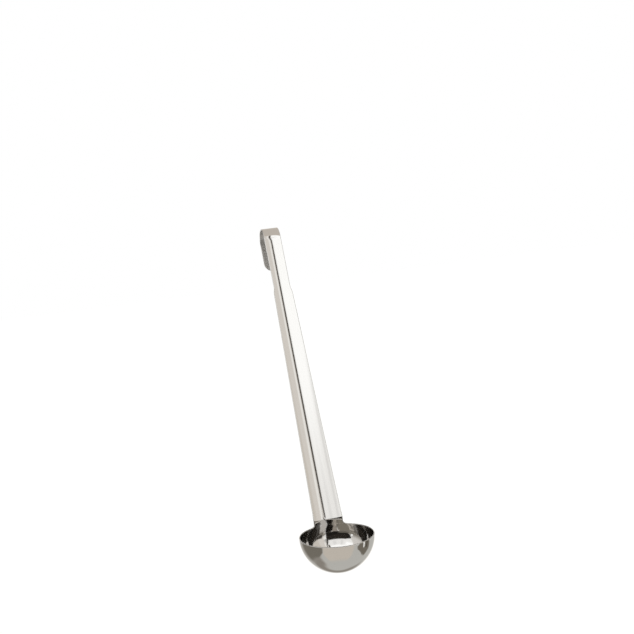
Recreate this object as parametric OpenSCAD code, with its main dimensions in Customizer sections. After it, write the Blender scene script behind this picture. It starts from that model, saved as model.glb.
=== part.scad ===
// Soup ladle: a spun bowl with a low neck, and a pressed trough handle that is
// spot welded to the back of the neck and ends in a hanging hook.
// The origin is the centre of the hook's bend. +Z is up with the bowl's mouth
// level, +X is to the right and +Y is to the back, the way the handle leans.

/* [Bowl] */
// Inner radius of the half-round bowl
bowl_r = 30.5; // [20:0.5:60]
// Thickness of the bowl's sheet
bowl_wall = 1; // [0.6:0.1:2]
// Height of the neck's middle above the rim
neck_h = 4.5; // [2:0.5:10]
// Drop of the neck's top edge from its middle to its ends
neck_arch = 1; // [0.2:0.2:1.6]

/* [Handle] */
// Thickness of the handle's sheet
handle_t = 1; // [0.6:0.1:2]
// Width of the handle at its foot, and of the neck
foot_w = 24.5; // [16:0.5:36]
// Length of the straight handle, from the bend at its foot to the hook
handle_l = 257; // [150:1:400]
// Angle that the handle leans back
lean = 32; // [5:1:45]
// Inside radius of the bend at the foot
foot_bend_r = 2; // [1:0.5:15]
// Length of the foot below the rim, over the back of the bowl
foot_drop = 15; // [12:0.5:18]
// Height of the bend's start below the top edge of the neck
bend_below = 1.2; // [0:0.1:2]
// Width of the handle just below the shoulder
shoulder_w = 16.4; // [14.4:0.2:20]
// Width of the strip just above the shoulder
strip_w = 14.2; // [10:0.2:16.2]
// Length of the shoulder's curve
shoulder_l = 8; // [4:1:30]
// Distance from the top of the shoulder to the hook
strip_l = 46; // [20:1:80]

/* [Hook] */
// Inside radius of the hook
hook_r = 11; // [6:0.5:20]
// Width of the hook
hook_w = 14.6; // [10:0.2:20]
// Length of the hook's free leg, with its round end
leg_l = 23; // [10:1:60]
// Angle that the trough tilts forward to run out into the flat hook
runout_tilt = 9; // [4:0.5:12]
// Length of the flat strip between the run-out and the hook's bend
flat_l = 0.5; // [0.5:0.5:6]

/* [Spot welds] */
// Diameter of a weld
weld_d = 5; // [3:0.5:6]
// Distance from each upper weld to the middle
weld_x = 6; // [4:0.5:7]
// Drop of the upper welds below the rim, in degrees around the bowl
weld_upper = 6; // [5:0.5:8]
// Drop of the lower weld below the rim, in degrees around the bowl
weld_lower = 18; // [17:0.5:20]
// Depth of a weld into the bowl's sheet, as a share of its thickness
weld_depth = 0.5; // [0.2:0.05:0.8]
// Depth of the electrode's dimple in the handle's foot
dimple = 0.2; // [0.1:0.05:0.4]

/* [Hidden] */
$fn = 96;
steel = "lightgray";
weld_colour = "darkgray";
// the bowl's outside is the handle's front face, and the trough has that radius
seat_r = bowl_r + bowl_wall;
back_r = seat_r + handle_t;
// the neck is as wide as the handle, and its top edge is an arc
neck_half = foot_w / 2;
neck_end = neck_h - neck_arch;
arch_r = (neck_half * neck_half + neck_arch * neck_arch) / (2 * neck_arch);
// the bend at the foot turns about an axis behind the sheet
bend_z = neck_h - bend_below;
bend_y = back_r + foot_bend_r;
// the hook is flat, level with the trough's two edges
flat_y = sqrt(seat_r * seat_r - hook_w * hook_w / 4);
hook_y = flat_y + handle_t + hook_r;
// the run-out is the same trough, tilted forward until the deepest line of its
// hollow meets the flat strip
runout_l = (seat_r - flat_y * cos(runout_tilt)) / sin(runout_tilt);
runout_start = handle_l - flat_l - runout_l;
shoulder_top = handle_l - strip_l;
shoulder_bottom = shoulder_top - shoulder_l;
shoulder_steps = 12;
// the hook's centre, seen from the centre of the bowl's rim
centre_y = bend_y + (hook_y - bend_y) * cos(lean) + handle_l * sin(lean);
centre_z = bend_z - (hook_y - bend_y) * sin(lean) + handle_l * cos(lean);
// past every edge, for the blocks that cut
far = 2 * handle_l;

// Half the handle's width at height s: a taper, the shoulder's curve, and the strip
function half_width(s) =
    s < shoulder_bottom ? foot_w / 2 + (shoulder_w - foot_w) / 2 * s / shoulder_bottom :
    s < shoulder_top ? strip_w / 2 + (shoulder_w - strip_w) / 4
        * (1 + cos(180 * (s - shoulder_bottom) / shoulder_l)) :
    strip_w / 2 + (hook_w - strip_w) / 2 * (s - shoulder_top) / strip_l;

outline_heights = concat(
    [0],
    [for (i = [0 : shoulder_steps]) shoulder_bottom + shoulder_l * i / shoulder_steps],
    [handle_l]);

// From the frame of the bowl's rim to the frame of the hook
module placed() {
    translate([0, -centre_y, -centre_z]) children();
}

// The frame of the straight handle: its foot is at height 0, above the bend
module leaned() {
    translate([0, bend_y, bend_z]) rotate([-lean, 0, 0]) translate([0, -bend_y, 0]) children();
}

// A flat outline in X and Z, carried straight back along Y
module carried_back(from, to) {
    translate([0, to, 0]) rotate([90, 0, 0]) linear_extrude(to - from) children();
}

// A profile of distance before the axis and width, turned about X, up and back
module turned(angle) {
    rotate([90, 0, -90]) rotate_extrude(angle = angle) children();
}

// A shell of the bowl's shape: half a sphere with an upright collar
module cup(inner, thickness, collar) {
    rotate_extrude() {
        intersection() {
            difference() {
                circle(inner + thickness);
                circle(inner);
            }
            translate([0, -far]) square([far, far]);
        }
        if (collar > 0)
            translate([inner, 0]) square([thickness, collar]);
    }
}

// The welds' places, each with its axis along Z and the bowl's centre at 0
module at_welds() {
    side = asin(weld_x / seat_r);
    for (place = [[-side, weld_upper], [side, weld_upper], [0, weld_lower]])
        rotate([0, 0, place[0]]) rotate([-90 - place[1], 0, 0]) children();
}

// One weld, from inside the bowl's sheet to a length beyond its outside
module weld(beyond) {
    start = bowl_r + bowl_wall * (1 - weld_depth);
    translate([0, 0, start]) cylinder(h = seat_r + beyond - start, d = weld_d);
}

// The neck's front view: an arched top edge, with hollow fillets to the rim
module neck_outline() {
    difference() {
        intersection() {
            translate([-neck_half - neck_end, 0]) square([foot_w + 2 * neck_end, neck_h]);
            translate([0, neck_h - arch_r]) circle(arch_r);
        }
        for (side = [-1, 1])
            translate([side * (neck_half + neck_end), neck_end]) circle(neck_end);
    }
}

// The foot's front view: a tongue with a round end
module foot_outline() {
    translate([0, neck_half - foot_drop]) circle(neck_half);
    translate([-neck_half, neck_half - foot_drop])
        square([foot_w, foot_drop - neck_half + bend_z]);
}

// The straight handle's front view
module handle_outline() {
    polygon(concat(
        [for (s = outline_heights) [half_width(s), s]],
        [for (i = [len(outline_heights) - 1 : -1 : 0])
            [-half_width(outline_heights[i]), outline_heights[i]]]));
}

// The trough's cross section, behind the bowl's axis
module trough_section(width) {
    intersection() {
        difference() {
            circle(back_r);
            circle(seat_r);
        }
        translate([-width / 2, 0]) square([width, back_r]);
    }
}

// The tilted frame of the run-out, or of the mitre halfway to it
module tilted(angle) {
    translate([0, 0, runout_start]) rotate([angle, 0, 0]) children();
}

// A block on one side of the mitre between the straight trough and the run-out
module mitre(side) {
    tilted(runout_tilt / 2) translate([-far / 2, -far / 2, side > 0 ? 0 : -far]) cube(far);
}

module bowl() {
    color(steel) placed() difference() {
        union() {
            cup(bowl_r, bowl_wall, 0);
            intersection() {
                cup(bowl_r, bowl_wall, neck_h);
                carried_back(0, far) neck_outline();
            }
        }
        at_welds() weld(far);
    }
}

module handle_foot() {
    difference() {
        intersection() {
            cup(seat_r, handle_t, bend_z);
            carried_back(0, far) foot_outline();
        }
        at_welds() weld(far);
    }
    translate([0, bend_y, bend_z]) turned(lean)
        translate([bend_y, 0]) rotate(90) trough_section(foot_w);
}

module handle_trough() {
    intersection() {
        difference() {
            cylinder(h = handle_l, r = back_r);
            cylinder(h = handle_l, r = seat_r);
        }
        carried_back(0, far) handle_outline();
        mitre(-1);
    }
}

module handle_runout() {
    rise = handle_l - runout_start;
    intersection() {
        difference() {
            union() {
                translate([-hook_w / 2, flat_y, runout_start]) cube([hook_w, handle_t, rise]);
                intersection() {
                    tilted(runout_tilt) cylinder(h = rise, r = back_r);
                    translate([-hook_w / 2, flat_y, runout_start]) cube([hook_w, back_r, rise]);
                }
            }
            tilted(runout_tilt) cylinder(h = far, r = seat_r);
        }
        carried_back(0, far) handle_outline();
        mitre(1);
    }
}

module handle_hook() {
    translate([0, hook_y, handle_l]) turned(180)
        translate([hook_r, -hook_w / 2]) square([handle_t, hook_w]);
    carried_back(hook_y + hook_r, hook_y + hook_r + handle_t) {
        translate([-hook_w / 2, handle_l - leg_l + hook_w / 2])
            square([hook_w, leg_l - hook_w / 2]);
        translate([0, handle_l - leg_l + hook_w / 2]) circle(hook_w / 2);
    }
}

module handle() {
    color(steel) placed() {
        handle_foot();
        leaned() {
            handle_trough();
            handle_runout();
            handle_hook();
        }
    }
}

module spot_welds() {
    color(weld_colour) placed() at_welds() weld(handle_t - dimple);
}

bowl();
handle();
spot_welds();
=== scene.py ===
import math

import bmesh
import bpy
import numpy as np
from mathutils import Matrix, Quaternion, Vector


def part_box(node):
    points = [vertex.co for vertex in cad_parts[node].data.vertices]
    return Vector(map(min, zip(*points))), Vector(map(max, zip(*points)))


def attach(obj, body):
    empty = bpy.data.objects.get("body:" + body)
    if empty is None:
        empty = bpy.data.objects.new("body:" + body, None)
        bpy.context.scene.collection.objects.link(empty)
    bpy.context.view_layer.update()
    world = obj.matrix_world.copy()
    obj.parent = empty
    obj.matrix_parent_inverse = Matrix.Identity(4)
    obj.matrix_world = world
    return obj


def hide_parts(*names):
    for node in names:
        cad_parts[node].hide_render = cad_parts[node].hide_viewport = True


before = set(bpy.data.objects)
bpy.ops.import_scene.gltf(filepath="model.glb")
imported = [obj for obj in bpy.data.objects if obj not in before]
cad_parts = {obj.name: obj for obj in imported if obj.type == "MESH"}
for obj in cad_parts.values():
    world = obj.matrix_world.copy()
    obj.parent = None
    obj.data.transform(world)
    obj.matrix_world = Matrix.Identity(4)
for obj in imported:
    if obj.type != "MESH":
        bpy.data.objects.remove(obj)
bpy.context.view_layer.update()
scene = bpy.context.scene

# The bowl is half a ball of 1 mm stainless sheet, spun and then buffed to a mirror. At the back a low
# neck with an arched top rises from its rim, and hollow fillets lead from its corners down into the rim.
# Every edge of the sheet is tumbled round.
MM = 0.001
sheet = 1 * MM
edge_r = 0.4 * MM
corner_r = 0.7 * MM
bowl_low, bowl_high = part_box("bowl")
handle_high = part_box("handle")[1]
ball_r = (bowl_high.x - bowl_low.x) / 2
rim_centre = np.array([0, (bowl_low.y + bowl_high.y) / 2, bowl_low.z + ball_r])
neck_h = bowl_high.z - rim_centre[2]
neck_half = handle_high.x
neck_arch = 1 * MM
arch_r = (neck_half**2 + neck_arch**2) / (2 * neck_arch)
corner_z = neck_h - arch_r + math.sqrt((arch_r - corner_r) ** 2 - (neck_half - corner_r) ** 2)
fillet_w = neck_h - neck_arch
level_part = math.radians(78)
merge_within = 0.0001 * MM


def grid_mesh(name, points, marks, uv=None):
    """A closed mesh from rings of points: each quad joins two neighbours of one ring to the two beside
    them in the next, and a ring's last point joins its first. Poles and seams are then merged.
    marks are point attributes by name, and uv is a pair of lengths for each point."""
    rings, count, _ = points.shape
    ring = np.arange(rings - 1)[:, None] * count
    here = np.arange(count)[None, :]
    beside = (here + 1) % count
    quads = np.stack([ring + here, ring + beside, ring + count + beside, ring + count + here], axis=-1)
    quads = quads.reshape(-1, 4)
    mesh = bpy.data.meshes.new(name)
    mesh.from_pydata(points.reshape(-1, 3).tolist(), [], quads.tolist())
    for mark, values in marks.items():
        layer = mesh.attributes.new(mark, "FLOAT", "POINT")
        layer.data.foreach_set("value", values.astype(np.float32).ravel())
    if uv is not None:
        layer = mesh.uv_layers.new(name="sheet")
        layer.data.foreach_set("uv", uv.reshape(-1, 2)[quads.ravel()].astype(np.float32).ravel())
    work = bmesh.new()
    work.from_mesh(mesh)
    bmesh.ops.remove_doubles(work, verts=work.verts, dist=merge_within)
    bmesh.ops.recalc_face_normals(work, faces=work.faces)
    work.to_mesh(mesh)
    work.free()
    mesh.shade_smooth()
    piece = bpy.data.objects.new(name, mesh)
    scene.collection.objects.link(piece)
    return piece


def steps(start, end, count):
    """Evenly spaced numbers from start up to, but without, end."""
    return np.linspace(start, end, count, endpoint=False)


def round_edge(count):
    """The section of a sheet's edge, from its front to its back: how far each point stands out from the
    line where the rounding starts, and how deep in the sheet it lies. Two quarter circles and a flat."""
    turn = np.linspace(0, math.pi / 2, count)
    out = np.concatenate([edge_r * np.sin(turn), edge_r * np.cos(turn)])
    deep = np.concatenate([edge_r * (1 - np.cos(turn)), sheet - edge_r + edge_r * np.sin(turn)])
    return out, deep


def bowl_edge():
    """The sheet's top edge for the bowl's right half, from the middle of the neck to the front: the angle
    around the bowl and the height of each point, and of the same points where the rounding starts.
    In the front view it is a flat arc, a small round corner, a hollow quarter ellipse and the level rim."""
    half_arch = math.asin((neck_half - corner_r) / (arch_r - corner_r))
    arch = steps(0, half_arch, 24)
    corner = steps(half_arch, math.pi / 2, 8)
    hollow = steps(0, math.pi / 2, 20)
    slant = np.hypot(corner_z * np.cos(hollow), fillet_w * np.sin(hollow))
    x = np.concatenate([
        arch_r * np.sin(arch),
        neck_half - corner_r * (1 - np.sin(corner)),
        neck_half + fillet_w * (1 - np.cos(hollow)),
    ])
    z = np.concatenate([
        neck_h - arch_r * (1 - np.cos(arch)),
        corner_z + corner_r * np.cos(corner),
        corner_z * (1 - np.sin(hollow)),
    ])
    out_x = np.concatenate([np.sin(arch), np.sin(corner), corner_z * np.cos(hollow) / slant])
    out_z = np.concatenate([np.cos(arch), np.cos(corner), fillet_w * np.sin(hollow) / slant])
    rim = np.linspace(math.asin((neck_half + fillet_w) / ball_r), math.pi, 150)
    angle = np.concatenate([np.arcsin(x / ball_r), rim])
    start_angle = np.concatenate([np.arcsin((x - edge_r * out_x) / ball_r), rim])
    height = np.concatenate([z, 0 * rim])
    start_height = np.concatenate([z - edge_r * out_z, 0 * rim - edge_r])
    return angle, height, start_angle, start_height


def bowl_points():
    """Rings of points from the pole inside, up the wall, over the edge and down to the pole outside, and
    how dull the steel is at each: 0 on the buffed walls and 1 on the tumbled edge. A wall point lies on
    the ball, at a distance from the axis of the root of radius squared less height squared."""
    half = bowl_edge()
    angle, height, start_angle, start_height = [
        np.concatenate([side, sign * side[-2:0:-1]]) for side, sign in zip(half, (-1, 1, -1, 1))]
    low = np.linspace(0, level_part, 56)[:, None]
    rise = np.linspace(0, 1, 24)[1:, None]
    out, deep = round_edge(8)

    def wall(radius):
        """Level circles for the first part up from the pole, then steps up to where the edge starts."""
        top = -radius * math.cos(low[-1, 0])
        z = np.concatenate([-radius * np.cos(low) + 0 * angle, top + rise * (start_height - top)])
        return np.broadcast_to(start_angle, z.shape), z, np.full_like(z, radius)

    inside = wall(ball_r - sheet)
    outside = [rows[::-1] for rows in wall(ball_r)]
    share = (out / edge_r)[1:-1, None]
    over = (
        start_angle + share * (angle - start_angle),
        start_height + share * (height - start_height),
        ball_r - sheet + deep[1:-1, None] + 0 * angle,
    )
    around, z, radius = [np.concatenate(rows) for rows in zip(inside, over, outside)]
    level_r = np.sqrt(np.maximum(radius**2 - np.minimum(z, 0) ** 2, 0))
    points = np.stack([level_r * np.sin(around), level_r * np.cos(around), z], axis=-1) + rim_centre
    dull = np.concatenate([np.zeros_like(inside[0]), 1 + np.zeros_like(over[0]), np.zeros_like(outside[0])])
    return points, dull


bowl_grid, bowl_dull = bowl_points()
bowl = grid_mesh("polished_bowl", bowl_grid, {"dull": bowl_dull})


def socket_group(name, inputs, outputs):
    """A new node group with named inputs, as name, kind and value, and named outputs, as name and kind."""
    group = bpy.data.node_groups.new(name, "ShaderNodeTree")
    for label, kind, value in inputs:
        socket = group.interface.new_socket(label, in_out="INPUT", socket_type=kind)
        if value is not None:
            socket.default_value = value
    for label, kind in outputs:
        group.interface.new_socket(label, in_out="OUTPUT", socket_type=kind)
    ends = group.nodes.new("NodeGroupInput"), group.nodes.new("NodeGroupOutput")
    return group, ends[0].outputs, ends[1].inputs


def add_node(tree, kind, **settings):
    """A node of that kind, with its own settings."""
    node = tree.nodes.new(kind)
    for key, value in settings.items():
        setattr(node, key, value)
    return node


def feed(tree, node, **inputs):
    """Gives a node's inputs a value or a socket each. An input goes by its name, with _ for a space, or by
    its place as i0, i1 and so on."""
    for key, value in inputs.items():
        by_place = key[0] == "i" and key[1:].isdigit()
        socket = node.inputs[int(key[1:]) if by_place else key.replace("_", " ")]
        if isinstance(value, bpy.types.NodeSocket):
            tree.links.new(value, socket)
        else:
            socket.default_value = value
    return node


def maths(tree, operation, first, second):
    """The output of one math step on two values or sockets."""
    node = add_node(tree, "ShaderNodeMath", operation=operation)
    return feed(tree, node, i0=first, i1=second).outputs[0]


buffed_rough = 0.07
least_rough = 0.03
line_rough = 0.06
line_tone = 0.965
wipe_rough = 0.05
wipe_scale = 45.0
dull_rough = 0.13
# the colour's dimming for each unit of dull steel: painted shade, strongest on the satin inside of the hook
painted_dull_shade = 0.08
line_bump = 0.002 * MM
steel_colour = (0.72, 0.71, 0.695, 1)


def buffing_group():
    """Buffed steel: fine lines across one direction of Pattern, and large soft wipe marks. It puts out a
    colour with the lines' tone in it, the roughness and the height of the lines. Roughness is Polish, plus
    the lines' and the wipe marks' share around their middle, plus a step for each unit of Dull. Each unit of
    Dull also dims the colour, which paints shade into the satin inside of the hook."""
    group, given, result = socket_group(
        "buffed steel",
        [
            ("Pattern", "NodeSocketVector", None),
            ("Place", "NodeSocketVector", None),
            ("Dull", "NodeSocketFloat", 0.0),
            ("Polish", "NodeSocketFloat", buffed_rough),
            ("Colour", "NodeSocketColor", steel_colour),
        ],
        [("Colour", "NodeSocketColor"), ("Roughness", "NodeSocketFloat"), ("Height", "NodeSocketFloat")],
    )
    lines = add_node(group, "ShaderNodeTexNoise")
    feed(group, lines, Vector=given["Pattern"], Scale=1.0, Detail=3.0, Roughness=0.6)
    wipes = add_node(group, "ShaderNodeTexNoise")
    feed(group, wipes, Vector=given["Place"], Scale=wipe_scale, Detail=4.0, Roughness=0.55)
    wipe = maths(group, "MULTIPLY", maths(group, "SUBTRACT", wipes.outputs["Fac"], 0.5), wipe_rough)
    grain = maths(group, "MULTIPLY", maths(group, "SUBTRACT", lines.outputs["Fac"], 0.5), line_rough)
    rough = maths(group, "ADD", maths(group, "ADD", given["Polish"], wipe), grain)
    rough = maths(group, "ADD", rough, maths(group, "MULTIPLY", given["Dull"], dull_rough))
    group.links.new(maths(group, "MAXIMUM", rough, least_rough), result["Roughness"])
    tone = add_node(group, "ShaderNodeMapRange")
    feed(group, tone, Value=lines.outputs["Fac"], From_Min=0.3, From_Max=0.7, To_Min=line_tone, To_Max=1.0)
    # dims the colour where the steel is dull: painted shade inside the satin hook
    painted_shade_step = maths(group, "MULTIPLY", given["Dull"], painted_dull_shade)
    tint = add_node(group, "ShaderNodeMix", data_type="RGBA", blend_type="MULTIPLY")
    feed(group, tint, Factor=1.0, i6=given["Colour"], i7=maths(group, "SUBTRACT", tone.outputs[0], painted_shade_step))
    group.links.new(tint.outputs[2], result["Colour"])
    group.links.new(lines.outputs["Fac"], result["Height"])
    return group


buffing = buffing_group()


def steel(name, polish, pattern):
    """Stainless steel, buffed: a plain metal whose colour, roughness and fine lines come from the buffing
    group. polish is the roughness that the buffing leaves, and pattern makes the coordinates of the lines
    from the material's tree."""
    material = bpy.data.materials.new(name)
    material.use_nodes = True
    tree = material.node_tree
    shader = tree.nodes["Principled BSDF"]
    shader.inputs["Metallic"].default_value = 1.0
    dull = add_node(tree, "ShaderNodeAttribute", attribute_name="dull")
    place = add_node(tree, "ShaderNodeTexCoord")
    worn = add_node(tree, "ShaderNodeGroup")
    worn.node_tree = buffing
    feed(tree, worn, Pattern=pattern(tree), Place=place.outputs["Object"], Dull=dull.outputs["Fac"],
         Polish=polish, Colour=steel_colour)
    bump = add_node(tree, "ShaderNodeBump")
    feed(tree, bump, Height=worn.outputs["Height"], Strength=0.12, Distance=line_bump)
    tree.links.new(worn.outputs["Colour"], shader.inputs["Base Color"])
    tree.links.new(worn.outputs["Roughness"], shader.inputs["Roughness"])
    tree.links.new(bump.outputs["Normal"], shader.inputs["Normal"])
    return material


lines_per_metre = 5000.0
breaks_per_metre = 120.0


def ring_lines(tree):
    """Coordinates that change fast up the wall and out from the bowl's axis, and slowly around it, so the
    lines run around the bowl as its buffing wheel left them."""
    place = add_node(tree, "ShaderNodeTexCoord")
    centred = add_node(tree, "ShaderNodeMapping")
    feed(tree, centred, Vector=place.outputs["Object"], Location=tuple(-rim_centre))
    flat = add_node(tree, "ShaderNodeVectorMath", operation="MULTIPLY")
    feed(tree, flat, i0=centred.outputs[0], i1=(1, 1, 0))
    out = add_node(tree, "ShaderNodeVectorMath", operation="LENGTH")
    feed(tree, out, i0=flat.outputs[0])
    parts = add_node(tree, "ShaderNodeSeparateXYZ")
    feed(tree, parts, Vector=centred.outputs[0])
    around = add_node(tree, "ShaderNodeVectorMath", operation="SCALE")
    feed(tree, around, i0=flat.outputs[0], Scale=breaks_per_metre)
    fast = add_node(tree, "ShaderNodeCombineXYZ")
    feed(tree, fast, X=maths(tree, "MULTIPLY", out.outputs["Value"], lines_per_metre),
         Z=maths(tree, "MULTIPLY", parts.outputs["Z"], lines_per_metre))
    total = add_node(tree, "ShaderNodeVectorMath", operation="ADD")
    return feed(tree, total, i0=fast.outputs[0], i1=around.outputs[0]).outputs[0]


bowl.data.materials.append(steel("buffed bowl steel", buffed_rough, ring_lines))
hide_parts("bowl")
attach(bowl, "root")

# The handle is one strip of 1 mm stainless sheet, pressed into a shallow trough as round as the bowl. Its
# foot is a tongue that lies on the back of the neck and the bowl, a bend above it starts the lean, and at
# the top a shoulder narrows it to a strip that flattens and turns over backwards into the hanging hook.
lean = math.radians(32)
foot_bend_r = 2 * MM
foot_drop = 15 * MM
bend_below = 1.2 * MM
straight_l = 257 * MM
shoulder_w = 16.4 * MM
strip_w = 14.2 * MM
shoulder_l = 8 * MM
strip_l = 46 * MM
hook_r = 11 * MM
hook_w = 14.6 * MM
leg_l = 23 * MM
runout_l = 11 * MM
runout_past = 8 * MM
hairline = 0.02 * MM
bend_z = neck_h - bend_below
bend_y = ball_r + sheet + foot_bend_r
bend_l = (bend_y - ball_r) * lean
flat_y = math.sqrt(ball_r**2 - hook_w**2 / 4)
hook_y = flat_y + sheet + hook_r
hook_start = bend_l + straight_l
hook_end = hook_start + math.pi * (hook_r + sheet)
strip_start = hook_start - strip_l
shoulder_start = strip_start - shoulder_l
runout_end = hook_start + runout_past
# a buffing wheel doesn't reach the hook's inside and the back of the strip next to it, so they stay satin
# the satin also dims the colour through the buffing group, which paints the shade inside the hook
satin_dull = 2.6
satin_start = hook_start - 30 * MM
satin_ramp = 12 * MM
weld_places = [(-6 * MM, math.radians(6)), (6 * MM, math.radians(6)), (0, math.radians(18))]
weld_r = 2.5 * MM
dimple = 0.2 * MM
dimple_past = 0.3 * MM
dimple_slope = 0.9 * MM
sliver = 0.01 * MM


def smooth(value):
    """A soft step from 0 to 1: three times the square less twice the cube."""
    value = np.clip(value, 0, 1)
    return value**2 * (3 - 2 * value)


def handle_points(along, across, deep):
    """Points of the handle's sheet. along runs up the foot, over the bend, up the trough, over the hook and
    down its leg, and is 0 where the bend starts. across is the distance from the middle, and deep the
    depth into the sheet from its front face. The section is an arc of the bowl's radius, which flattens
    to a level line before the hook. It is turned about the hook's axis, then about the bend's."""
    height = np.minimum(along, 0) + bend_z
    drop = np.minimum(height, 0)
    arc_y = np.sqrt(ball_r**2 - across**2 - drop**2)
    hollow = 1 - smooth((along - runout_end + runout_l) / runout_l)
    side = hollow * across / arc_y
    down = drop / arc_y
    size = np.sqrt(1 + side**2 + down**2)
    x = across + deep * side / size
    y = flat_y + hollow * (arc_y - flat_y) + deep / size
    z = height + deep * down / size
    turn = np.clip((along - hook_start) / (hook_r + sheet), 0, math.pi)
    rise = np.clip(along - bend_l, 0, straight_l) - (y - hook_y) * np.sin(turn)
    rise = rise - np.maximum(along - hook_end, 0)
    y = hook_y + (y - hook_y) * np.cos(turn)
    tilt = lean * np.clip(along / bend_l, 0, 1)
    back = bend_y + (y - bend_y) * np.cos(tilt) + rise * np.sin(tilt)
    up = z - (y - bend_y) * np.sin(tilt) + rise * np.cos(tilt)
    return np.stack([x, back, up], axis=-1) + rim_centre


def half_width(along):
    """Half the handle's width: level on the foot, a straight taper, a cosine curve at the shoulder, and a
    strip that widens slightly to the hook."""
    past_bend = np.maximum(along - bend_l, 0)
    taper = neck_half + (shoulder_w / 2 - neck_half) * past_bend / (shoulder_start - bend_l)
    swing = (1 + np.cos(math.pi * (along - shoulder_start) / shoulder_l)) / 2
    shoulder = strip_w / 2 + (shoulder_w - strip_w) / 2 * swing
    strip = strip_w / 2 + (hook_w - strip_w) / 2 * np.clip((along - strip_start) / strip_l, 0, 1)
    return np.select([along < shoulder_start, along < strip_start], [taper, shoulder], strip)


def handle_outline():
    """The right edge from the foot's tip to the leg's tip: place along the handle, half the width, and the
    direction that points out of the sheet there. Both ends are half circles."""
    foot_turn = steps(0, math.pi / 2, 30)
    tip_turn = np.linspace(math.pi / 2, 0, 24)
    foot_middle = neck_half - foot_drop - bend_z
    leg_middle = hook_end + leg_l - hook_w / 2
    body = np.concatenate([
        steps(foot_middle, 0, 14),
        steps(0, bend_l, 14),
        steps(bend_l, shoulder_start, 90),
        steps(shoulder_start, strip_start, 28),
        steps(strip_start, runout_end - runout_l, 10),
        steps(runout_end - runout_l, hook_start, 6),
        steps(hook_start, hook_end, 72),
        steps(hook_end, leg_middle, 8),
    ])
    slope = (half_width(body + sliver) - half_width(body - sliver)) / (2 * sliver)
    along = np.concatenate([
        foot_middle - neck_half * np.cos(foot_turn), body, leg_middle + hook_w / 2 * np.cos(tip_turn)])
    half = np.concatenate([neck_half * np.sin(foot_turn), half_width(body), hook_w / 2 * np.sin(tip_turn)])
    out_along = np.concatenate([-np.cos(foot_turn), -slope / np.sqrt(1 + slope**2), np.cos(tip_turn)])
    out_across = np.concatenate([np.sin(foot_turn), 1 / np.sqrt(1 + slope**2), np.sin(tip_turn)])
    return along, half, out_along, out_across


def weld_axes():
    """The direction of each spot weld from the bowl's centre, square to the bowl. A place is how far to the
    side the weld would lie at the rim's level, and its angle below that level."""
    x = np.array([place[0] for place in weld_places])
    drop = np.array([place[1] for place in weld_places])
    side = np.arcsin(x / ball_r)
    return np.stack([np.sin(side) * np.cos(drop), np.cos(side) * np.cos(drop), -np.sin(drop)], axis=-1)


def handle_rings():
    """Rings around the sheet, from the foot's tip to the leg's tip: across the front, over the right edge,
    back across the back, and over the left edge. The front lies a hairline deep, so that the foot and the
    bowl share no surface, and dimples lower the back by a soft step of the distance from a weld's middle.
    It also gives how dull the steel is at each point, 1 on the tumbled edges and more on the satin inside
    of the hook, and each point's place on the flat sheet."""
    along, half, out_along, out_across = [row[:, None] for row in handle_outline()]
    start_along = along - edge_r * out_along
    start_half = half - edge_r * out_across
    share = np.linspace(-1, 1, 57)
    out, deep = [row[1:-1] for row in round_edge(7)]
    face = start_along + 0 * share
    rim = 0 * along + 0 * out
    across = [share * start_half, start_half + out * out_across,
              share[::-1] * start_half, -start_half - out[::-1] * out_across]
    places = [face, start_along + out * out_along, face, start_along + out[::-1] * out_along]
    depths = [hairline + 0 * face, np.maximum(deep, hairline) + rim,
              sheet + 0 * face, np.maximum(deep[::-1], hairline) + rim]
    edge = [0 * face, 1 + rim, 0 * face, 1 + rim]
    across, places, depths, edge = [np.concatenate(rows, axis=1) for rows in (across, places, depths, edge)]
    at_back = depths > sheet - sliver
    from_ball = handle_points(places, across, depths) - rim_centre
    weld_tops = (ball_r + sheet) * weld_axes()
    apart = np.linalg.norm(from_ball[:, :, None] - weld_tops, axis=-1).min(axis=-1)
    pressed = smooth((weld_r + dimple_past - apart) / dimple_slope) * at_back
    points = handle_points(places, across, depths - dimple * pressed)
    satin = satin_dull * smooth((places - satin_start) / satin_ramp) * at_back
    return points, np.maximum(edge, satin), np.stack([across, places], axis=-1)


handle_grid, handle_dull, handle_uv = handle_rings()
handle = grid_mesh("polished_handle", handle_grid, {"dull": handle_dull}, uv=handle_uv)
handle_lines = (6000, 90, 1)


def long_lines(tree):
    """Coordinates that change fast across the handle and slowly along it."""
    own = add_node(tree, "ShaderNodeUVMap", uv_map="sheet")
    scaled = add_node(tree, "ShaderNodeMapping")
    return feed(tree, scaled, Vector=own.outputs[0], Scale=handle_lines).outputs[0]


handle.data.materials.append(steel("buffed handle steel", buffed_rough, long_lines))
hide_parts("handle")
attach(handle, "root")

# Three spot welds join the foot to the back of the bowl. Each shows as a dull disc of pressed and fused
# steel at the bottom of the dimple that the electrode left.
pressed_rough = 0.32
disc_r = weld_r - 0.6 * MM
disc_high = 0.05 * MM
disc_crown = 0.02 * MM
disc_round = 0.05 * MM
disc_deep = 0.02 * MM


def weld_points(axis):
    """One weld's disc: a profile of distance from the weld's axis and height from the bowl's centre, turned
    around the axis. Its top falls with the square of the distance, and its rim is a quarter ellipse."""
    side = np.cross(axis, (0, 0, 1))
    side /= np.linalg.norm(side)
    over = np.cross(axis, side)
    floor = ball_r + sheet - dimple
    top = steps(0, 1, 10)
    bend = np.linspace(0, math.pi / 2, 5)
    out = np.concatenate([top * (disc_r - disc_round), disc_r - disc_round * (1 - np.sin(bend)), [disc_r, 0]])
    high = np.concatenate([
        disc_high - disc_crown * top**2, (disc_high - disc_crown) * np.cos(bend), [-disc_deep, -disc_deep]])
    turn = steps(0, 2 * math.pi, 48)
    spoke = side * np.cos(turn)[:, None] + over * np.sin(turn)[:, None]
    ray = axis * floor + out[:, None, None] * spoke[None]
    ray /= np.linalg.norm(ray, axis=-1, keepdims=True)
    return ray * (floor + high)[:, None, None] + rim_centre


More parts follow.
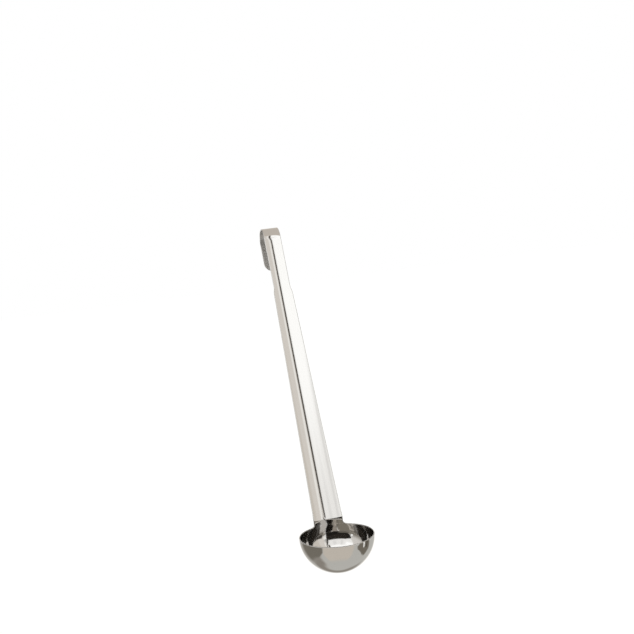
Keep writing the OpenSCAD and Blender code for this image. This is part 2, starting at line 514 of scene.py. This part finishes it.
weld_steel = steel("pressed weld steel", pressed_rough, ring_lines)
for number, axis in enumerate(weld_axes(), 1):
    disc_grid = weld_points(axis)
    disc = grid_mesh(f"spot_weld_{number}", disc_grid, {"dull": 0 * disc_grid[..., 0]})
    disc.data.materials.append(weld_steel)
    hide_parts("spot_welds")
    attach(disc, "root")

# A plain pale floor lies below the ladle and its studio screens. To the camera it is as white as the
# backdrop, apart from the ladle's own soft shadow.
floor_z = bowl_low.z - 450 * MM
floor_half = 3.0
floor_colour = (0.8, 0.8, 0.79, 1)
floor_glow = 0.24
floor_sides = [(-1, -1), (1, -1), (1, 1), (-1, 1)]
floor_corners = [(x * floor_half, y * floor_half, floor_z) for x, y in floor_sides]
floor_mesh = bpy.data.meshes.new("floor")
floor_mesh.from_pydata(floor_corners, [], [(0, 1, 2, 3)])
floor = bpy.data.objects.new("floor", floor_mesh)
scene.collection.objects.link(floor)
floor_paint = bpy.data.materials.new("pale floor")
floor_paint.use_nodes = True
floor_tree = floor_paint.node_tree
floor_tree.nodes.remove(floor_tree.nodes["Principled BSDF"])
matt = feed(floor_tree, add_node(floor_tree, "ShaderNodeBsdfDiffuse"), Color=floor_colour)
glow = feed(floor_tree, add_node(floor_tree, "ShaderNodeEmission"), Color=(1, 1, 1, 1))
rays = add_node(floor_tree, "ShaderNodeLightPath")
seen = maths(floor_tree, "MAXIMUM", rays.outputs["Is Camera Ray"], rays.outputs["Is Glossy Ray"])
feed(floor_tree, glow, Strength=maths(floor_tree, "MULTIPLY", seen, floor_glow))
both = feed(floor_tree, add_node(floor_tree, "ShaderNodeAddShader"), i0=matt.outputs[0], i1=glow.outputs[0])
floor_tree.links.new(both.outputs[0], floor_tree.nodes["Material Output"].inputs["Surface"])
floor_mesh.materials.append(floor_paint)

# Studio screens stand around the ladle; they light nothing and show only in the steel's reflections: a wide
# soft box in front, a warm panel past a dark slit to its right, the dark room around the camera, tan paper
# above and in front below, and black and grey walls behind. Flags close to the bowl and cards close to the
# hook paint shade into the insides of the bowl and the hook.
screen_steps = 41
layer_gap = 0.01
far_ball = (rim_centre / 2, 3.0)
low_ball = (rim_centre, 420 * MM)
bowl_ball = (rim_centre, 42 * MM)
hook_ball = (np.zeros(3), 100 * MM)


def shown(red, green, blue):
    """The glow of a screen that the steel shows as these 0 to 255 values: made linear, then divided by the
    steel's colour."""
    value = np.array([red, green, blue]) / 255
    linear = np.where(value <= 0.04045, value / 12.92, ((value + 0.055) / 1.055) ** 2.4)
    return linear / steel_colour[:3]


def screen_paint(name, colour):
    """A glow of one colour, as strong as the mesh's cover at each point, and clear where the cover is 0."""
    paint = bpy.data.materials.new(name)
    paint.use_nodes = True
    tree = paint.node_tree
    tree.nodes.remove(tree.nodes["Principled BSDF"])
    light = feed(tree, add_node(tree, "ShaderNodeEmission"), Color=(*colour, 1))
    clear = add_node(tree, "ShaderNodeBsdfTransparent")
    share = add_node(tree, "ShaderNodeAttribute", attribute_name="cover")
    mixed = add_node(tree, "ShaderNodeMixShader")
    feed(tree, mixed, i0=share.outputs["Fac"], i1=clear.outputs[0], i2=light.outputs[0])
    tree.links.new(mixed.outputs[0], tree.nodes["Material Output"].inputs["Surface"])
    return paint


def screen(name, colour, outline, soft=(0, 0, 0, 0), opacity=1.0, layer=0, ball=far_ball):
    """A patch of a ball. outline is a list of elevation, left azimuth and right azimuth, in degrees, with
    azimuths to the right of straight ahead and straight lines between the rows. Its edges fade over soft
    degrees at the left, right, bottom and top, and a higher layer is nearer to the ladle."""
    rows, left, right = np.array(outline, dtype=float).T
    across = np.linspace(0, 1, screen_steps)[None, :]
    up = np.linspace(0, 1, screen_steps)[:, None]
    height = rows[-1] - rows[0]
    elevation = rows[0] + height * up + 0 * across
    start = np.interp(elevation, rows, left)
    width = np.interp(elevation, rows, right) - start
    azimuth = np.radians(start + width * across)
    level = np.cos(np.radians(elevation))
    rise = np.sin(np.radians(elevation))
    cover = opacity * np.ones_like(elevation)
    inward = (across * width * level, (1 - across) * width * level, up * height, (1 - up) * height)
    for fade, apart in zip(soft, inward):
        if fade:
            cover = cover * smooth(apart / fade)
    ray = np.stack([np.sin(azimuth) * level, -np.cos(azimuth) * level, rise], axis=-1)
    points = ball[0] + ray * ball[1] * (1 - layer_gap * layer)
    cell = np.arange(screen_steps - 1)
    corner = (cell[:, None] * screen_steps + cell[None, :]).ravel()
    quads = np.stack([corner, corner + 1, corner + screen_steps + 1, corner + screen_steps], axis=-1)
    mesh = bpy.data.meshes.new(name)
    mesh.from_pydata(points.reshape(-1, 3).tolist(), [], quads.tolist())
    mark = mesh.attributes.new("cover", "FLOAT", "POINT")
    mark.data.foreach_set("value", cover.astype(np.float32).ravel())
    mesh.materials.append(screen_paint(name, colour))
    patch = bpy.data.objects.new(name, mesh)
    scene.collection.objects.link(patch)
    patch.visible_camera = False
    patch.visible_diffuse = False
    patch.visible_shadow = False


tan = shown(185, 177, 167)
white = shown(254, 253, 250)
bright = shown(225, 220, 214)
black = shown(40, 36, 31)
slit_dark = shown(45, 41, 36)
no_glow = (0, 0, 0)

# above the horizon
screen("top_paper", tan, [(56, -180, 180), (90, -180, 180)])
screen("back_paper", tan, [(50, 100, 230), (57, 100, 230)])
screen("soft_box", shown(231, 229, 225), [(20, -84, 24), (56.5, -84, 24)], layer=1)
screen("soft_box_top", white, [(43, -82, 26), (56.5, -82, 26)], soft=(7, 7, 6, 0.5), layer=2)
screen("box_glow", white, [(32, -84, -40), (56.5, -84, -40)], soft=(0, 8, 6, 0.5), layer=2.2)
screen("box_frame", no_glow, [(28, -12, 10), (50, -12, 10)], soft=(8, 8, 9, 9), opacity=0.14, layer=3)
screen("box_end", no_glow, [(28, -36, -22), (50, -36, -22)], soft=(4, 4, 5, 5), opacity=0.12, layer=3)
screen("left_wall", shown(202, 198, 192), [
    (-17, -121, -56), (26, -121, -60), (30, -121, -68), (36, -121, -76), (50, -121, -80)],
    soft=(2, 4, 0, 0), layer=2.4)
screen("left_foot", shown(120, 114, 104), [(-17, -112, -44), (10, -112, -44), (22, -112, -48)],
       soft=(10, 0, 0, 14), layer=2.6)
screen("back_left", shown(24, 21, 18), [
    (3, -196, -121), (34, -196, -121), (47, -168, -121), (54, -165, -121)],
    soft=(3, 2, 0, 3), layer=2)
screen("back_gap", bright, [(-17, 146, 204), (10, 146, 204), (14, 156, 184), (26, 158, 184)],
       soft=(4, 4, 0, 4), layer=2.5)
screen("camera_side", shown(28, 26, 23), [
    (-17, -46, 24), (8, -46, 24), (10, -49, 23), (12, -52, 23), (14, -56, 22.5), (17, -58, 22),
    (20, -61.5, 22), (23, -62, 21.5), (24.5, -57, 21), (26, -46, 20.5), (27, -38, 20), (28.5, -24, 10)],
    soft=(2, 2, 0, 2), layer=4)
screen("camera_foot", shown(98, 93, 84), [(-17, -50, -8), (10.5, -50, -14)], soft=(0, 9, 0, 3), layer=5)
# a small white glow that lights nothing and shows only in reflections: a painted highlight inside the bowl
screen("highlight_glow", white, [(9.5, -66, -57), (17, -66, -57)], soft=(3, 3, 2.5, 3.5), layer=6)
screen("warm_panel", shown(207, 201, 193), [(12, 27, 86), (30, 27, 86), (57, 27, 70)], layer=1)
screen("warm_side", shown(195, 188, 178), [(12, 52, 86), (30, 52, 86), (57, 52, 70)],
       soft=(8, 0, 0, 0), layer=1.5)
screen("warm_edge", shown(229, 226, 220), [
    (12, 25, 35), (26, 26, 36), (31, 29, 39), (37, 32, 42), (41, 30, 41), (43, 29, 39), (57, 29, 39)],
    soft=(2, 2.5, 3, 3), layer=2)
screen("warm_foot", shown(138, 132, 122), [(-17, 24, 90), (9, 24, 88), (14, 48, 86)],
       soft=(0, 0, 0, 3), layer=3)
screen("right_wall", shown(137, 131, 120), [
    (3, 82, 170), (34, 82, 172), (38, 82, 178), (43, 82, 200), (50, 82, 210), (54, 82, 212)],
    soft=(2, 16, 0, 3), layer=2.2)
screen("slit", slit_dark, [(8, 18, 23.5), (26, 19, 26), (31, 22, 29), (37, 25, 32.5), (40, 27, 33.8)],
       soft=(1.2, 1.2, 0, 0.5), layer=5)
screen("slit_top", shown(70, 65, 58), [(40.5, 20.5, 29.5), (56.5, 21, 30)], soft=(1.5, 1.5, 0.5, 0), layer=5)
# close to the bowl and the hook: dark flags and cards, seen only in reflections, that paint shade into their
# insides
screen("bowl_painted_shade_flag", black, [(14, -64, 14), (28, -62, 14), (34, -58, 10)],
       soft=(3, 8, 0, 3), opacity=0.92, ball=bowl_ball)
screen("bowl_painted_shade_veil", black, [(15, 6, 38), (28, 6, 36), (31, 6, 34)],
       soft=(8, 4, 3, 3), opacity=0.72, ball=bowl_ball)
screen("bowl_painted_dark_slit", slit_dark, [(41, 46, 54), (48, 55, 64), (54, 62, 72)],
       soft=(1.5, 1.5, 1, 0), ball=bowl_ball)
screen("rim_shade", black, [(-4, 120, 218), (12, 120, 218)], soft=(6, 6, 0, 3), ball=bowl_ball)
screen("streak_shade", black, [
    (1, 50, 112), (5.5, 50, 108), (7, 51, 94), (9, 52, 80), (11, 53, 72), (14, 54, 63)],
    soft=(3, 4, 1, 1), opacity=0.9, ball=bowl_ball)
screen("bowl_shade", black, [(22, 32, 60), (42, 30, 58)], soft=(8, 14, 3, 4), opacity=0.6, ball=bowl_ball)
screen("hook_painted_shade_card", tan, [(8, 135, 200), (62, 135, 200)], soft=(6, 6, 6, 6), ball=hook_ball)
screen("hook_painted_shade_side", shown(118, 113, 105), [(-80, 40, 160), (0, 40, 160)], soft=(6, 6, 0, 6), ball=hook_ball)
# below the horizon
screen("floor_paper", shown(176, 174, 168), [(-90, -180, 180), (-17, -180, 180)], ball=low_ball)
screen("low_left_halo", shown(156, 151, 144), [
    (-74, -165, -100), (-58, -168, -78), (-42, -170, -66), (-16, -170, -60)],
    soft=(24, 12, 14, 0), layer=1, ball=low_ball)
screen("low_left", shown(110, 105, 96), [
    (-54, -142, -84), (-45, -150, -82), (-38, -152, -67), (-33, -152, -60), (-22, -152, -56),
    (-16, -152, -56)],
    soft=(18, 4, 14, 0), layer=2, ball=low_ball)
screen("front_paper", shown(186, 178, 167), [
    (-70, -56, 36), (-50, -60, 42), (-38, -64, 42), (-28, -60, 42), (-15, -58, 42)],
    soft=(3, 8, 16, 0), layer=3, ball=low_ball)
screen("low_right", shown(107, 101, 91), [
    (-47, 84, 104), (-42, 72, 104), (-36, 58, 106), (-32, 50, 108), (-25, 47, 104), (-20, 54, 102),
    (-15, 56, 100)],
    soft=(4, 6, 4, 0), layer=3, ball=low_ball)
# a glow that lights nothing and shows only in reflections: a painted highlight streak on the bowl's outside
screen("low_highlight_glow", shown(228, 226, 222), [(-31, 73, 80), (-26, 72, 79), (-15, 69, 77)],
       soft=(1.5, 1.5, 3, 0), layer=4, ball=low_ball)
screen("low_shade", shown(75, 70, 62), [(-32, 83, 93), (-16, 83, 91)],
       soft=(3, 3, 3, 2), layer=4, ball=low_ball)
screen("low_back", shown(132, 126, 118), [(-72, 118, 285), (-44, 118, 285)],
       soft=(14, 14, 12, 8), layer=3, ball=low_ball)
screen("back_glow", bright, [(-42, 138, 198), (-14, 138, 198)],
       soft=(6, 14, 6, 0), layer=4, ball=low_ball)

# The backdrop is the world itself, plain white. It lights the ladle evenly from all around, at the level at
# which a colour renders as it is written.
world = bpy.data.worlds.new("studio")
scene.world = world
world.use_nodes = True
world.node_tree.nodes["Background"].inputs["Color"].default_value = (1, 1, 1, 1)
world.node_tree.nodes["Background"].inputs["Strength"].default_value = 1.0
scene.view_settings.view_transform = "Standard"

# The camera looks at the ladle from two metres in front, a little from the left and from above. Its place,
# its turn and its lens follow the photo's framing.
view_azimuth = math.radians(-11.96)
view_elevation = math.radians(12.97)
view_roll = math.radians(4.71)
view_distance = 2.0
view_middle = Vector(rim_centre) + Vector((6.95 * MM, 40.13 * MM, 176.7 * MM))
camera_data = bpy.data.cameras.new("camera")
camera_data.lens = 137.1
camera_data.sensor_width = 36
camera = bpy.data.objects.new("camera", camera_data)
scene.collection.objects.link(camera)
towards = Vector((
    math.sin(view_azimuth) * math.cos(view_elevation),
    -math.cos(view_azimuth) * math.cos(view_elevation),
    math.sin(view_elevation),
))
camera.location = view_middle + view_distance * towards
camera.rotation_mode = "QUATERNION"
camera.rotation_quaternion = towards.to_track_quat("Z", "Y") @ Quaternion((0, 0, 1), -view_roll)
scene.camera = camera
